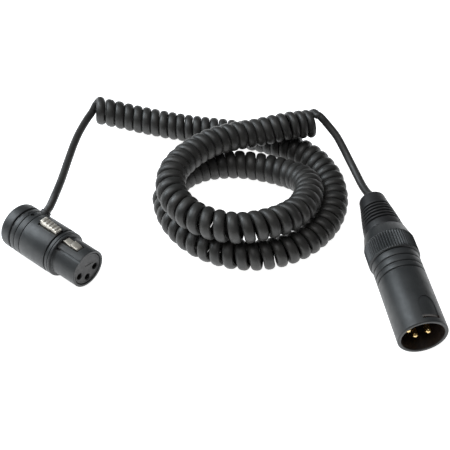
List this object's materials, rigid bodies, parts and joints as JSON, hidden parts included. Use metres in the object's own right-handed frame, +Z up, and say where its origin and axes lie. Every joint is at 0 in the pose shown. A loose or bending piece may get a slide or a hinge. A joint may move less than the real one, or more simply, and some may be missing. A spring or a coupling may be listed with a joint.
{
  "type": "coiled microphone cable",
  "caption": "Curly microphone cable lying in loops, with a low-profile side-exit socket connector at one end and a straight pin connector at the other.",
  "frame": {"origin": "bottom centre of the box round the two connectors, on the table that the cable lies on", "axes": "+Z up from the table, +X from the socket connector towards the pin connector"},
  "size_m": [0.171, 0.1347, 0.0259],
  "materials": {
    "black_shell": "satin black coating on zinc",
    "black_insert": "moulded",
    "boot_rubber": "soft matte",
    "cord_jacket": "smooth matte jacket",
    "nickel": "nickel plate",
    "gold_contact": "gold plate",
    "steel": "plain",
    "conductor_insulation": "plain"
  },
  "bodies": {
    "root": {"female_lead": "cord_jacket", "curly_cord": "cord_jacket", "male_lead": "cord_jacket", "exit_ring": "black_shell", "swivel_sleeve": "steel", "exit_ring_set_screw": "steel", "cable_gland": "boot_rubber", "female_cable_end": "cord_jacket", "cap_gasket": "boot_rubber", "rear_cap": "black_shell", "male_shell": "black_shell", "male_insert": "black_insert", "contact_pin_1": "gold_contact", "contact_pin_2": "gold_contact", "contact_pin_3": "gold_contact", "male_conductor_1": "conductor_insulation", "male_conductor_2": "conductor_insulation", "male_conductor_3": "conductor_insulation", "male_cable_end": "cord_jacket", "cable_chuck": "black_insert", "locking_nut": "black_shell", "cable_boot": "boot_rubber"},
    "female_front": {"female_housing": "black_shell", "female_insert": "black_insert", "socket_contact_1": "gold_contact", "socket_contact_2": "gold_contact", "socket_contact_3": "gold_contact", "latch_pivot_pin": "steel", "latch_spring": "steel", "female_conductor_1": "conductor_insulation", "female_conductor_2": "conductor_insulation", "female_conductor_3": "conductor_insulation"},
    "latch": {"latch_lever": "nickel"}
  },
  "joints": [
    {"name": "exit_swivel", "type": "hinge", "parent": "root", "child": "female_front", "pos_m": [-0.06432, 0.00998, 0.0095], "axis": [-0.7912, 0.6115, 0], "range_deg": [-150, 150]},
    {"name": "latch_press", "type": "hinge", "parent": "female_front", "child": "latch", "pos_m": [-0.0674, 0.01352, 0.01604], "axis": [0.6056, 0.7835, -0.1392], "range_deg": [0, 3.8], "stiffness_Nm_per_rad": 0.3, "springref_deg": -2.86, "deforming": ["latch_spring"]}
  ]
}
